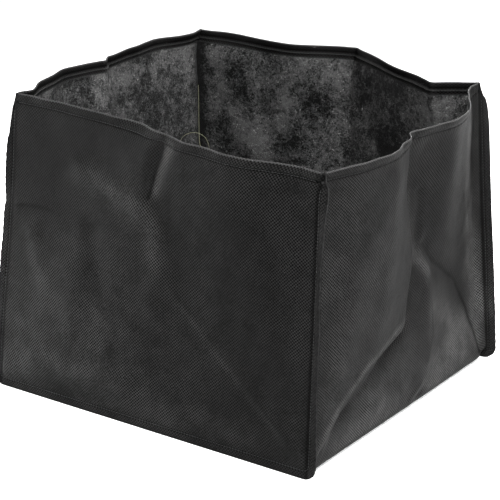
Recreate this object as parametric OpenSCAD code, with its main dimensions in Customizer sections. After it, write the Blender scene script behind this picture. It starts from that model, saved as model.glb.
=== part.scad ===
/* [Bag] */
// Width between the corner seams, left to right
width = 400; // [300:10:500]
// Depth between the corner seams, front to back
depth = 400; // [300:10:500]
// Height of the rim above the ground
height = 330; // [260:10:420]

/* [Cloth] */
// Thickness of the coated outer cloth
outer_cloth = 0.4; // [0.3:0.1:0.6]
// Thickness of the felt lining
lining = 0.8; // [0.6:0.1:1.2]
// How far the top edge is turned down inside
hem = 15; // [12:1:25]
// Width of the seam margins outside the bag
margin = 11; // [9:1:14]

/* [Stitching] */
// Thickness of the sewing thread
thread = 0.5; // [0.3:0.1:0.6]
// Distance of the hem stitches below the rim
hem_stitch = 10; // [8:1:11]
// Thickness of the loose nylon thread end
loose_thread = 0.5; // [0.3:0.1:0.8]

/* [Hidden] */

// Colours: smooth coated cloth outside, fuzzy felt inside
cloth_colour = [0.17, 0.17, 0.17];
felt_colour = [0.30, 0.29, 0.29];
thread_colour = [0.10, 0.10, 0.10];
nylon_colour = [0.45, 0.45, 0.38];

wall_cloth = outer_cloth + lining;
fin = 2 * wall_cloth;           // four layers lie together in every seam margin
seam_stitch = margin - 2;       // stitches run this far in from the raw edge
floor_ramp = 14;                // the floor climbs to its seam over this distance
square = 4;                     // beside a corner seam the cloth runs on straight this far

// The creases below are laid out on a wall of this size and stretch with the bag
crease_length = 400;
crease_height = 330;

// Heights at which every wall is cut into rows
row_heights = [0, 12, 28, 50, 75, 95, 120, 150, 185, 230, 270, 300];
rows = concat([for (h = row_heights) h * height / crease_height], [height - 18, height - 12, height]);

// A corner is [side in x, side in y, points [height, lean in x, lean in y] up its seam]
front_right_corner = [1, -1, [[11, 0, 0], [90, 2, -3.5], [170, 4, -6.5], [250, 5, -8.5],
                              [312, 5, -9], [330, 12, -9]]];
front_left_corner = [-1, -1, [[11, 0, 0], [90, 0.5, 8], [170, 2, 17.5], [250, 3.5, 24],
                              [330, 4, 28]]];
back_right_corner = [1, 1, [[11, 0, 0], [40, -2, -2], [90, -6, -4.5], [170, -14, -8],
                            [250, -21, -11], [330, -28, -14]]];
back_left_corner = [-1, 1, [[11, 0, 0], [90, -4, -3.5], [170, -7.5, -6.5], [210, -8.5, -8],
                            [270, -11, -9.5], [300, -12.5, -11], [315, -12, -10.5], [330, -8, -8]]];

// A crease is a line up a wall of points [height, distance along the wall, how far it stands out].
// Each wall lists its creases in order, and the cloth is flat between two neighbours.
front_creases = [
    [[0, 50, 0], [60, 50, 4], [165, 48, 5], [250, 50, -2], [330, 50, -8]],
    [[0, 100, 0], [60, 108, 5], [165, 115, 9], [250, 118, -1], [330, 118, -9]],
    [[0, 150, 0], [115, 185, 6], [240, 178, 10], [330, 170, 2]],
    [[0, 205, 0], [115, 212, 1], [156, 214, 2], [240, 208, 3], [270, 202, 4], [330, 212, 11]],
    [[0, 390, 0], [17, 380, -1], [83, 317, -4], [131, 267, -4], [156, 242, -3], [240, 238, 7],
     [330, 240, 17]],
    [[0, 394, 0], [60, 375, 1], [165, 335, 6], [240, 315, 12], [330, 305, 20]]
];
right_creases = [
    [[0, 6, 0], [60, 40, 7], [165, 55, 16], [300, 59, 22], [330, 60, 18]],
    [[0, 12, 0], [50, 50, 5], [100, 120, 12], [165, 130, 19], [250, 130, 28], [300, 127, 33],
     [330, 125, 32]],
    [[0, 16, 0], [50, 56, 2], [89, 152, 2], [100, 190, 2], [148, 203, 3], [183, 215, 4],
     [267, 185, 11], [300, 172, 20], [330, 158, 26]],
    [[0, 22, 0], [28, 28, 0], [50, 66, -2], [89, 168, -5], [100, 206, -8], [148, 219, -7],
     [183, 232, -6], [267, 200, 0], [305, 184, 8], [330, 174, 12]],
    [[0, 232, 0], [46, 248, 5], [124, 250, 5], [152, 248, -1], [183, 240, -5], [267, 208, 1],
     [300, 192, 8], [330, 182, 12]],
    [[0, 388, 0], [12, 382, 0], [60, 362, -8], [116, 330, -7], [154, 272, -1], [183, 248, -2],
     [267, 220, 5], [300, 208, 14], [330, 198, 20]],
    [[0, 391, 0], [60, 370, -7], [116, 338, -7], [183, 290, 9], [267, 272, 26], [330, 262, 37]],
    [[0, 393, 0], [60, 380, -8], [118, 350, -8], [170, 352, -1], [223, 358, 3], [330, 345, 20]],
    [[0, 395, 0], [84, 388, -9], [235, 386, -5], [274, 386, -3], [330, 388, 3]]
];
back_creases = [
    [[0, 44, 0], [165, 44, -20], [330, 44, -38]],
    [[0, 120, 0], [165, 120, -2], [330, 120, 2]],
    [[0, 190, 0], [165, 195, 22], [330, 195, 43]],
    [[0, 258, 0], [165, 258, 10], [330, 258, 14]],
    [[0, 330, 0], [165, 330, 4], [330, 330, -2]]
];
left_creases = [
    [[0, 12, 0], [165, 95, 6], [300, 95, 9], [330, 95, 13]],
    [[0, 18, 0], [60, 60, 0], [165, 160, 10], [300, 166, 17], [330, 168, 21]],
    [[0, 22, 0], [60, 66, 0], [165, 190, 2], [300, 195, 12], [330, 196, 17]],
    [[0, 28, 0], [60, 74, -4], [165, 198, -11], [300, 209, 0], [330, 211, 5]],
    [[0, 372, 0], [60, 338, -5], [165, 214, -9], [300, 219, 3], [330, 220, 8]],
    [[0, 378, 0], [60, 350, -1], [165, 224, -2], [300, 234, 10], [330, 236, 15]],
    [[0, 388, 0], [165, 290, 8], [330, 268, 22]]
];

// A wall is [corner it starts from, corner it ends at, outward direction, creases, is a side wall]
front_wall = [front_left_corner, front_right_corner, [0, -1], front_creases, false];
right_wall = [front_right_corner, back_right_corner, [1, 0], right_creases, true];
back_wall = [back_right_corner, back_left_corner, [0, 1], back_creases, false];
left_wall = [back_left_corner, front_left_corner, [-1, 0], left_creases, true];

// Route of the loose nylon thread: out of the back left seam, down the corner, round one curl
loose_route = [
    [-209, 189, 260], [-208, 188.5, 250], [-207.5, 188.5, 238], [-207, 188.5, 225], [-206.5, 188.5, 212],
    [-205, 187, 200], [-201, 183, 189], [-194, 178, 182], [-186, 173, 179], [-178, 168, 182],
    [-173, 163, 190], [-173, 160, 200], [-177, 158, 207], [-183, 155, 211], [-190, 152, 211.5],
    [-197, 149.5, 209], [-203.5, 149, 203.5], [-207.5, 149.5, 195], [-208.5, 150.5, 186], [-208, 151, 177]
];
loose_steps = 3;                // rings between two points of the route

// ---- where things lie ----

// Value k of a corner's or a crease's line of points at a height
function value_at(line, z, k) = lookup(z * crease_height / height, [for (p = line) [p[0], p[k]]]);
function post(c, z) = [c[0] * width / 2 + value_at(c[2], z, 1), c[1] * depth / 2 + value_at(c[2], z, 2)];
function along(w) = [-w[2][1], w[2][0]];

// Beside the floor seam the walls stand straight
function stands_out(line, z) = z <= margin + outer_cloth ? 0 : value_at(line, z, 2);

// A point of a wall, a given share of the way along it, standing out by a given amount
function wall_place(w, share, out, z) =
    let (a = post(w[0], z), b = post(w[1], z), p = a + (b - a) * share + w[2] * out) [p[0], p[1], z];

// Where crease j crosses height z, a distance inward from the outer face
function crease_point(w, j, inward, z) =
    let (line = w[3][j])
    wall_place(w, value_at(line, z, 1) / crease_length, stands_out(line, z) - inward, z);

// Points near a corner post: end is 0 at the wall's first corner and 1 at its last
function corner_point(w, end, ahead, out, z) =
    let (c = post(w[end], z), step = end == 0 ? ahead : -ahead, p = c + along(w) * step + w[2] * out)
    [p[0], p[1], z];

// The margins are trimmed round at the ground and run out under the hem
function margin_at(z) =
    min(lookup(z, [[0, margin - 7], [3, margin - 3], [12, margin]]),
        lookup(height - z, [[12, 0.6], [18, margin]]));

// One row of points along a wall, from a distance ahead of one corner to the other
function inner_row(w, ahead, inward, z) = concat(
    [corner_point(w, 0, ahead, -inward, z)],
    ahead < square ? [corner_point(w, 0, square, -inward, z)] : [],
    [for (j = [0 : len(w[3]) - 1]) crease_point(w, j, inward, z)],
    ahead < square ? [corner_point(w, 1, square, -inward, z)] : [],
    [corner_point(w, 1, ahead, -inward, z)]);

// The same row with its seam margins: the front and back run straight on past the corner
// seams, and a side wall turns outward to lie behind them
function wall_row(w, inward, z) =
    let (bend = w[4] ? fin - inward : 0,
         ahead = w[4] ? bend : -margin_at(z), out = w[4] ? margin_at(z) : -inward)
    concat([corner_point(w, 0, ahead, out, z)], inner_row(w, bend, inward, z),
           [corner_point(w, 1, ahead, out, z)]);

// ---- solids from points ----

// A closed sheet between two grids of points of the same size
module sheet(face, back) {
    m = len(face);
    n = len(face[0]);
    total = m * n;
    function at(i, j) = i * n + j;
    edge = concat([for (j = [0 : n - 2]) at(0, j)], [for (i = [0 : m - 2]) at(i, n - 1)],
                  [for (j = [n - 1 : -1 : 1]) at(m - 1, j)], [for (i = [m - 1 : -1 : 1]) at(i, 0)]);
    cells = [for (i = [0 : m - 2], j = [0 : n - 2]) [at(i, j), at(i + 1, j), at(i + 1, j + 1), at(i, j + 1)]];
    front_faces = [for (c = cells, t = [[0, 1, 2], [0, 2, 3]]) [c[t[0]], c[t[1]], c[t[2]]]];
    back_faces = [for (f = front_faces) [total + f[0], total + f[2], total + f[1]]];
    edge_faces = [for (k = [0 : len(edge) - 1], t = [0, 1])
        let (a = edge[k], b = edge[(k + 1) % len(edge)])
        t == 0 ? [a, b, total + b] : [a, total + b, total + a]];
    polyhedron(points = [for (g = [face, back], row = g, p = row) p],
               faces = concat(front_faces, back_faces, edge_faces), convexity = 8);
}

module wall_sheet(w, first, last, low, high) {
    heights = concat([low], [for (z = rows) if (z > low + 1 && z < high - 1) z], [high]);
    sheet([for (z = heights) wall_row(w, first, z)], [for (z = heights) wall_row(w, last, z)]);
}

// The turned edge: over the top of the lining, then down its inner face
module hem_sheet(w) {
    short = w[4] ? wall_cloth + outer_cloth : wall_cloth;
    inside = wall_cloth + outer_cloth;
    sheet([inner_row(w, short, outer_cloth, height), inner_row(w, short, inside, height),
           inner_row(w, short, inside, height - hem)],
          [inner_row(w, short, outer_cloth, height - outer_cloth),
           inner_row(w, short, wall_cloth, height - outer_cloth),
           inner_row(w, short, wall_cloth, height - hem)]);
}

// Section of the floor along its depth, a distance up from its lower face
function floor_half(up) =
    let (y = depth / 2 - fin, slope = margin / floor_ramp, slant = sqrt(1 + slope * slope))
    [[y + up, 0], [y + up, margin + up * (slope + slant)],
     [y - floor_ramp - up * (slant - 1) / slope, up]];
function floor_line(up) = let (h = floor_half(up)) concat(h, [for (i = [2 : -1 : 0]) [-h[i][0], h[i][1]]]);

module floor_sheet(low, high) {
    a = floor_line(low);
    b = floor_line(high);
    translate([-width / 2 + wall_cloth, 0, 0])
        rotate([90, 0, 90])
            linear_extrude(width - 2 * wall_cloth)
                polygon(concat(a, [for (i = [len(b) - 1 : -1 : 0]) b[i]]));
}

// ---- thread ----

function unit(v) = v / norm(v);
function heading(path, i) = unit(path[min(i + 1, len(path) - 1)] - path[max(i - 1, 0)]);

// A ring of points around one point of a path, square to the way the path runs
function ring(p, dir, radius, sides) =
    let (aside = unit(cross(dir, abs(dir[2]) < 0.9 ? [0, 0, 1] : [1, 0, 0])), up = cross(aside, dir))
    [for (k = [0 : sides - 1]) p + radius * (aside * cos(360 * k / sides) + up * sin(360 * k / sides))];

module tube(rings) {
    n = len(rings);
    sides = len(rings[0]);
    cells = [for (i = [0 : n - 2], k = [0 : sides - 1])
        [i * sides + k, i * sides + (k + 1) % sides,
         (i + 1) * sides + (k + 1) % sides, (i + 1) * sides + k]];
    side_faces = [for (c = cells, t = [[0, 1, 2], [0, 2, 3]]) [c[t[0]], c[t[1]], c[t[2]]]];
    caps = [[for (k = [sides - 1 : -1 : 0]) k], [for (k = [0 : sides - 1]) (n - 1) * sides + k]];
    polyhedron(points = [for (r = rings, p = r) p], faces = concat(side_faces, caps), convexity = 8);
}

module round_tube(path, diameter, sides) {
    tube([for (i = [0 : len(path) - 1]) ring(path[i], heading(path, i), diameter / 2, sides)]);
}

// A square thread laid on cloth that faces across
module flat_thread(path, across) {
    half = thread / 2;
    tube([for (i = [0 : len(path) - 1]) let (aside = unit(cross(heading(path, i), across)))
        [for (s = [[-1, -1], [1, -1], [1, 1], [-1, 1]]) path[i] + half * (aside * s[0] + across * s[1])]]);
}

// Down one margin, along the ground and up the other, on one face of the front or back seams
module seam_thread(w, out) {
    aside = seam_stitch - margin;
    heights = concat([seam_stitch], [for (i = [2 : len(rows) - 4]) rows[i]]);
    top = len(heights) - 1;
    flat_thread(concat([for (i = [top : -1 : 0]) corner_point(w, 0, aside, out, heights[i])],
                       [for (i = [0 : top]) corner_point(w, 1, aside, out, heights[i])]),
                [0, w[2][1], 0]);
}

// Along one wall just below the rim, on its outer or its inner face
module hem_thread(w, out) {
    flat_thread(inner_row(w, square, -out, height - hem_stitch), [w[2][0], w[2][1], 0]);
}

// Smooth curve through the points of a route
function curve(p, t) =
    let (i = min(floor(t), len(p) - 2), f = t - i,
         a = p[max(i - 1, 0)], b = p[i], c = p[i + 1], d = p[min(i + 2, len(p) - 1)])
    b + (c - a) * f / 2 + (a * 2 - b * 5 + c * 4 - d) * f * f / 2
      + (b * 3 - a - c * 3 + d) * f * f * f / 2;
loose_path = [for (i = [0 : (len(loose_route) - 1) * loose_steps]) curve(loose_route, i / loose_steps)];

// ---- one module for each piece ----

module outer(w) { color(cloth_colour) wall_sheet(w, 0, outer_cloth, 0, height); }
module felt(w) { color(felt_colour) wall_sheet(w, outer_cloth, wall_cloth, outer_cloth, height - outer_cloth); }
module turned_hem(w) { color(cloth_colour) hem_sheet(w); }

module front_outer() { outer(front_wall); }
module front_lining() { felt(front_wall); }
module front_hem() { turned_hem(front_wall); }
module back_outer() { outer(back_wall); }
module back_lining() { felt(back_wall); }
module back_hem() { turned_hem(back_wall); }
module left_outer() { outer(left_wall); }
module left_lining() { felt(left_wall); }
module left_hem() { turned_hem(left_wall); }
module right_outer() { outer(right_wall); }
module right_lining() { felt(right_wall); }
module right_hem() { turned_hem(right_wall); }
module base_outer() { color(cloth_colour) floor_sheet(0, outer_cloth); }
module base_lining() { color(felt_colour) floor_sheet(outer_cloth, wall_cloth); }

module front_seam_needle_thread() { color(thread_colour) seam_thread(front_wall, thread / 2); }
module front_seam_bobbin_thread() { color(thread_colour) seam_thread(front_wall, -fin - thread / 2); }
module back_seam_needle_thread() { color(thread_colour) seam_thread(back_wall, thread / 2); }
module back_seam_bobbin_thread() { color(thread_colour) seam_thread(back_wall, -fin - thread / 2); }
module hem_needle_thread() {
    color(thread_colour)
        for (w = [front_wall, right_wall, back_wall, left_wall]) hem_thread(w, thread / 2);
}
module hem_bobbin_thread() {
    color(thread_colour)
        for (w = [front_wall, right_wall, back_wall, left_wall])
            hem_thread(w, -wall_cloth - outer_cloth - thread / 2);
}
module loose_thread_end() { color(nylon_colour) round_tube(loose_path, loose_thread, 8); }

front_outer();
front_lining();
front_hem();
back_outer();
back_lining();
back_hem();
left_outer();
left_lining();
left_hem();
right_outer();
right_lining();
right_hem();
base_outer();
base_lining();
front_seam_needle_thread();
front_seam_bobbin_thread();
back_seam_needle_thread();
back_seam_bobbin_thread();
hem_needle_thread();
hem_bobbin_thread();
loose_thread_end();
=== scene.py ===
"""Looks of the fabric grow bag: coated cloth outside, felt inside, sewn like a tote bag.

Lengths are in millimetres until a mesh is made. The cloth is worked out as grids of points on
its outer face: two panels with seam margins, and one strip that wraps from the right rim down,
under the floor and up to the left rim. The layers are laid off inward from those grids.
"""

import math

import bpy
import numpy as np
from mathutils import Matrix, Vector


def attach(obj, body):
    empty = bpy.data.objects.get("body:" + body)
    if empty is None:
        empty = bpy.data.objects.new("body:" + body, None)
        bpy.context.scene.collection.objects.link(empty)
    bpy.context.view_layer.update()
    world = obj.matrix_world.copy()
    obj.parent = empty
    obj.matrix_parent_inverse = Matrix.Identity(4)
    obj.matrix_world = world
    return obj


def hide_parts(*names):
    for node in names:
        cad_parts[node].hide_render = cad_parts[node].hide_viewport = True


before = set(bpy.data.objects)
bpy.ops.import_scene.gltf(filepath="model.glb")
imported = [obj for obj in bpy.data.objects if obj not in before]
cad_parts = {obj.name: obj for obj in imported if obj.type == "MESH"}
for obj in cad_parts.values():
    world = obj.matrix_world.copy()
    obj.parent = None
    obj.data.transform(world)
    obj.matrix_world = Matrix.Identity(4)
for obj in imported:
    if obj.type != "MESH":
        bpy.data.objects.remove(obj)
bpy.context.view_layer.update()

MM = 0.001
BODY = "root"

# ---- sizes, the same as in the CAD part ----
WIDTH = 400.0
DEPTH = 400.0
HEIGHT = 330.0
OUTER = 0.4                      # coated cloth
LINING = 0.8                     # felt
HEM = 15.0                       # turned down inside the rim
HEM_STITCH = 10.0                # below the rim
MARGIN = 11.0                    # seam margins outside the bag
SEAM_STITCH = 9.0                # from the raw edge
THREAD = 0.5
WALL = OUTER + LINING
FIN = 2 * WALL                   # both margins of a seam together
FLOOR_RAMP = 14.0                # the floor climbs to its seam over this distance
SEAM_BEND = 4.0                  # radius of the seam line at the bottom corners
FLOOR_BEND = 10.0                # radius of the strip where a side wall meets the floor

# Corners: side in x, side in y, points (height, lean in x, lean in y) up the seam
CORNERS = {
    "front_right": (1, -1, [(11, 0, 0), (90, 2, -3.5), (170, 4, -6.5), (250, 5, -8.5),
                            (312, 5, -9), (330, 12, -9)]),
    "front_left": (-1, -1, [(11, 0, 0), (90, 0.5, 8), (170, 2, 17.5), (250, 3.5, 24), (330, 4, 28)]),
    "back_right": (1, 1, [(11, 0, 0), (40, -2, -2), (90, -6, -4.5), (170, -14, -8),
                          (250, -21, -11), (330, -28, -14)]),
    "back_left": (-1, 1, [(11, 0, 0), (90, -4, -3.5), (170, -7.5, -6.5), (210, -8.5, -8),
                          (270, -11, -9.5), (300, -12.5, -11), (315, -12, -10.5), (330, -8, -8)]),
}
# Seam margins at each corner: (height, width, degrees turned toward the outside of the panel)
MARGINS = {
    "front_right": [(0, 11, 25), (22, 11, 27), (78, 11, 30), (150, 11, 33), (200, 11, 43),
                    (258, 11, 36), (290, 11, 18), (303, 11, 0), (314, 10, 0), (321, 5, 0),
                    (330, 1, 0)],
    "front_left": [(0, 11, 12), (260, 11, 12), (277, 9.7, 12), (285, 7.6, 12), (297, 6.6, 10),
                   (312, 5, 5), (321, 3, 0), (330, 1, 0)],
    "back_right": [(0, 11, 0), (280, 10.5, 0), (300, 9.4, 0), (306, 8.7, 0), (311, 7.4, 0),
                   (316, 4.6, 0), (322, 2.6, 0), (330, 1, 0)],
    "back_left": [(0, 11, 0), (280, 11, 0), (312, 9, 0), (320, 5, 0), (330, 1, 0)],
}
# Creases: lines up a wall of points (height, distance along the wall, how far it stands out)
CREASES = {
    "front": [
        [(0, 50, 0), (60, 50, 4), (165, 48, 5), (250, 50, -2), (330, 50, -8)],
        [(0, 100, 0), (60, 108, 5), (165, 115, 9), (250, 118, -1), (330, 118, -9)],
        [(0, 150, 0), (115, 185, 6), (240, 178, 10), (330, 170, 2)],
        [(0, 205, 0), (115, 212, 1), (156, 214, 2), (240, 208, 3), (270, 202, 4), (330, 212, 11)],
        [(0, 390, 0), (17, 380, -1), (83, 317, -4), (131, 267, -4), (156, 242, -3), (240, 238, 7),
         (330, 240, 17)],
        [(0, 394, 0), (60, 375, 1), (165, 335, 6), (240, 315, 12), (330, 305, 20)],
    ],
    "right": [
        [(0, 6, 0), (60, 40, 7), (165, 55, 16), (300, 59, 22), (330, 60, 18)],
        [(0, 12, 0), (50, 50, 5), (100, 120, 12), (165, 130, 19), (250, 130, 28), (300, 127, 33),
         (330, 125, 32)],
        [(0, 16, 0), (50, 56, 2), (89, 152, 2), (100, 190, 2), (148, 203, 3), (183, 215, 4),
         (267, 185, 11), (300, 172, 20), (330, 158, 26)],
        [(0, 22, 0), (28, 28, 0), (50, 66, -2), (89, 168, -5), (100, 206, -8), (148, 219, -7),
         (183, 232, -6), (267, 200, 0), (305, 184, 8), (330, 174, 12)],
        [(0, 232, 0), (46, 248, 5), (124, 250, 5), (152, 248, -1), (183, 240, -5), (267, 208, 1),
         (300, 192, 8), (330, 182, 12)],
        [(0, 388, 0), (12, 382, 0), (60, 362, -8), (116, 330, -7), (154, 272, -1), (183, 248, -2),
         (267, 220, 5), (300, 208, 14), (330, 198, 20)],
        [(0, 391, 0), (60, 370, -7), (116, 338, -7), (183, 290, 9), (267, 272, 26), (330, 262, 37)],
        [(0, 393, 0), (60, 380, -8), (118, 350, -8), (170, 352, -1), (223, 358, 3), (330, 345, 20)],
        [(0, 395, 0), (84, 388, -9), (235, 386, -5), (274, 386, -3), (330, 388, 3)],
    ],
    "back": [
        [(0, 44, 0), (165, 44, -20), (330, 44, -38)],
        [(0, 120, 0), (165, 120, -2), (330, 120, 2)],
        [(0, 190, 0), (165, 195, 22), (330, 195, 43)],
        [(0, 258, 0), (165, 258, 10), (330, 258, 14)],
        [(0, 330, 0), (165, 330, 4), (330, 330, -2)],
    ],
    "left": [
        [(0, 12, 0), (165, 95, 6), (300, 95, 9), (330, 95, 13)],
        [(0, 18, 0), (60, 60, 0), (165, 160, 10), (300, 166, 17), (330, 168, 21)],
        [(0, 22, 0), (60, 66, 0), (165, 190, 2), (300, 195, 12), (330, 196, 17)],
        [(0, 28, 0), (60, 74, -4), (165, 198, -11), (300, 209, 0), (330, 211, 5)],
        [(0, 372, 0), (60, 338, -5), (165, 214, -9), (300, 219, 3), (330, 220, 8)],
        [(0, 378, 0), (60, 350, -1), (165, 224, -2), (300, 234, 10), (330, 236, 15)],
        [(0, 388, 0), (165, 290, 8), (330, 268, 22)],
    ],
}
# Walls: first corner, last corner, outward direction
WALLS = {
    "front": ("front_left", "front_right", (0, -1)),
    "right": ("front_right", "back_right", (1, 0)),
    "back": ("back_right", "back_left", (0, 1)),
    "left": ("back_left", "front_left", (-1, 0)),
}
# Where creases are sharp: points (distance along, height) and how far round them
SHARP = {
    "front": [([(212, 330), (202, 270)], 14), ([(240, 330), (238, 240)], 8),
              ([(238, 160), (267, 131), (317, 83), (380, 17)], 14)],
    "right": [([(174, 330), (200, 267), (232, 183), (206, 100), (168, 89), (66, 50), (28, 28)], 16),
              ([(182, 330), (208, 267), (240, 183)], 12), ([(200, 300), (203, 148), (190, 100)], 12),
              ([(248, 183), (272, 154), (330, 116), (362, 60), (382, 12)], 14),
              ([(250, 140), (250, 50)], 10), ([(385, 330), (388, 84)], 12)],
    "back": [([(44, 330), (44, 200)], 10), ([(195, 330), (195, 200)], 8)],
    "left": [([(196, 330), (190, 165)], 10), ([(211, 330), (198, 165), (74, 60)], 10)],
}
# Small folds with a sharp line: points (distance along, height), how far their sides reach, and
# how far they stand out at the first point and at the last
FOLDS = {
    "front": [
        ([(208, 330), (205, 304), (198, 281), (193, 256)], 11, -8.5, -1.5),     # under the hem
        ([(222, 172), (267, 132), (301, 103), (343, 68), (379, 39), (396, 24)], 26, 4.2, 3.4),
        ([(2, 209), (18, 213), (41, 216), (66, 213)], 7, 2.2, 0.6),
    ],
    "right": [
        ([(198, 112), (186, 104), (105, 92), (50, 61), (14, 26)], 10, 2.2, 1.8),  # diagonal
        ([(204, 104), (190, 95), (110, 82), (56, 50), (22, 22)], 5, -2.6, -2.2),
        ([(231, 176), (212, 159), (200, 106)], 9, 1.6, 2.0),
        ([(250, 184), (272, 156), (336, 114), (363, 73), (379, 32), (386, 12)], 7, -2.4, -2.0),
        ([(256, 128), (260, 78), (246, 46)], 12, 2.2, 1.0),
        ([(216, 4), (226, 8), (238, 14)], 4, -2.0, -1.2),                        # pinch at the floor
    ],
    "back": [
        ([(150, 330), (160, 250), (156, 190)], 14, 1.8, 0.6),
        ([(250, 60), (300, 130), (330, 210)], 16, -2.0, -1.2),
    ],
    "left": [
        ([(120, 40), (160, 110), (190, 170)], 14, 2.0, 1.4),
        ([(330, 60), (280, 120), (226, 172)], 14, 2.0, 1.4),
    ],
}
# Soft swells and dents: points, half width, how far they stand out at the first point and at
# the last
SWELLS = {
    "front": [
        ([(184, 318), (186, 296), (189, 276), (192, 262)], 9, 1.6, 0.3),
        ([(232, 318), (224, 300), (212, 276)], 10, 1.6, 0.5),
        ([(93, 262), (130, 257), (164, 252), (190, 240), (203, 222), (206, 194), (202, 130)],
         14, 3.6, 2.2),
        ([(33, 183), (46, 156), (56, 130)], 12, 3.0, 1.2),
        ([(13, 24), (56, 40), (112, 46), (166, 44)], 15, 4.4, 2.4),
        ([(120, 200), (132, 160), (128, 120)], 14, -3.4, -1.6),
        ([(90, 160), (100, 120), (92, 80)], 12, 2.2, 1.0),
    ],
    "right": [
        ([(240, 186), (250, 168), (262, 150)], 6, 1.8, 0.6),
        ([(228, 250), (237, 205), (240, 184)], 5, -1.4, -2.0),
        ([(214, 12), (222, 17), (236, 24)], 4, 1.8, 0.8),
        ([(60, 240), (90, 180), (80, 120)], 20, -1.4, -1.0),
    ],
    "back": [
        ([(60, 300), (66, 240), (60, 190)], 10, 2.0, 0.8),
        ([(236, 320), (232, 270), (238, 230)], 9, -2.2, -1.0),
        ([(300, 310), (306, 260), (296, 220)], 11, 2.4, 1.0),
    ],
    "left": [
        ([(110, 300), (120, 250)], 10, 1.8, 0.8),
        ([(280, 290), (262, 230)], 11, -2.0, -0.8),
    ],
}
# Painted light and shade: where the cloth is painted paler for light on its folds and facets, and
# with a minus painted darker for their shade: points (distance along, height), half width, how strongly
PAINTED_LIGHT_AND_SHADE = {
    "front": [
        ([(20, 60), (60, 90), (130, 80)], 55, 0.25),
        ([(330, 60), (340, 250)], 60, -0.1),
        ([(215, 250), (235, 190)], 22, -0.1),
        ([(98, 261), (135, 256), (170, 250), (192, 238), (202, 222), (205, 196)], 13, 0.38),
        ([(222, 320), (212, 296), (200, 268)], 7, 0.95),
        ([(30, 250), (110, 300)], 50, -0.13),
        ([(13, 26), (56, 42), (112, 48), (166, 48)], 14, 0.25),
        ([(110, 18), (320, 24)], 20, 0.14),
        ([(33, 183), (42, 154), (54, 133)], 10, 0.2),
        ([(224, 162), (268, 124), (320, 78), (372, 34)], 5, 0.14),
    ],
    "right": [
        ([(268, 22), (320, 34), (366, 40)], 26, 0.8),
        ([(60, 14), (200, 22)], 18, 0.25),
        ([(28, 40), (46, 120)], 16, 0.14), ([(110, 44), (205, 62)], 20, 0.18),
        ([(272, 104), (340, 52)], 20, 0.6),
        ([(336, 310), (350, 250), (366, 213), (374, 151), (390, 60)], 14, 1.0),
        ([(262, 190), (256, 300)], 30, -0.08),
        ([(170, 220), (145, 310)], 18, -0.05),
        ([(225, 182), (256, 152)], 7, 0.7),
        ([(60, 18), (150, 26)], 16, 0.3),
        ([(198, 112), (105, 96), (50, 66), (14, 30)], 4, 0.5),
        ([(176, 300), (205, 250), (226, 190), (208, 128)], 8, 0.25),
    ],
    "back": [
        ([(60, 40), (200, 30), (330, 50)], 34, 0.4),
        ([(44, 300), (44, 120)], 7, 0.4),
        ([(330, 300), (336, 150)], 8, 0.35),
    ],
    "left": [
        ([(40, 30), (200, 40), (360, 26)], 30, 0.4),
        ([(74, 60), (198, 165), (210, 300)], 6, 0.45),
    ],
}

# Painted shade along the sharp creases: points (distance along, height), width, depth
CREASE_SHADE_LINES = {
    "front": [([(209, 326), (206, 304), (198, 280), (193, 258)], 2.2, 0.9),
              ([(225, 168), (267, 129), (301, 100), (343, 66), (379, 37)], 1.8, 0.35),
              ([(2, 206), (18, 210), (41, 213), (60, 212)], 1.8, 0.5)],
    "right": [([(272, 157), (336, 115), (363, 73), (379, 32), (386, 10)], 1.9, 0.9),
              ([(231, 172), (210, 157), (198, 105)], 1.8, 0.5),
              ([(196, 100), (108, 86), (54, 54), (20, 25)], 2.0, 0.55),
              ([(250, 182), (272, 157)], 1.8, 0.6),
              ([(246, 49), (260, 76), (256, 122)], 1.8, 0.45),
              ([(214, 4), (226, 9), (237, 15)], 2.2, 0.9)],
    "back": [([(195, 320), (193, 240)], 2.0, 0.5)],
    "left": [([(74, 58), (140, 112), (196, 165), (208, 300)], 2.0, 0.5)],
}

# Felt tone: paler patches, partly the felt's own blotches and partly painted light beside folds, and
# with a minus darker patches of painted shade in folds and beside the corner seams: points, half width,
# how strongly
FELT_BLOTCH_LIGHT_SHADE = {
    "front": [],
    "right": [([(60, 300), (60, 180)], 20, 0.5)],
    "back": [
        ([(372, 305), (357, 255), (346, 225)], 15, 0.9), ([(327, 218), (308, 186)], 15, 1.1),
        ([(300, 275), (282, 240)], 18, 0.5), ([(214, 320), (212, 210)], 13, 0.6),
        ([(124, 330), (124, 150)], 44, -1.5), ([(150, 222), (146, 196)], 9, 1.6),
        ([(393, 330), (393, 100)], 8, -1.6), ([(335, 290), (330, 262)], 12, -0.5),
        ([(262, 225), (250, 190)], 14, -0.5),
    ],
    "left": [([(222, 310), (216, 220)], 8, 0.8), ([(200, 312), (196, 225)], 7, -1.3),
             ([(290, 300), (260, 250)], 24, -0.4)],
}


# ---- things placed in the scene ----
def placed(name, data):
    """Puts new data into the scene as an object."""
    made = bpy.data.objects.new(name, data)
    bpy.context.collection.objects.link(made)
    return made


def direction(azimuth, elevation):
    """From the bag outward: degrees round from the front toward the right, degrees up."""
    a, e = math.radians(azimuth), math.radians(elevation)
    return Vector((math.sin(a) * math.cos(e), -math.cos(a) * math.cos(e), math.sin(e)))


# ---- camera ----
CAMERA_AZIMUTH = 32.851
CAMERA_ELEVATION = 19.855
CAMERA_ROLL = 1.695
CAMERA_DISTANCE = 2235.3
CAMERA_TARGET = (-4.5, 0.0, 144.667)
CAMERA_LENS = 144.0
CAMERA_SENSOR = 36.0


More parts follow.
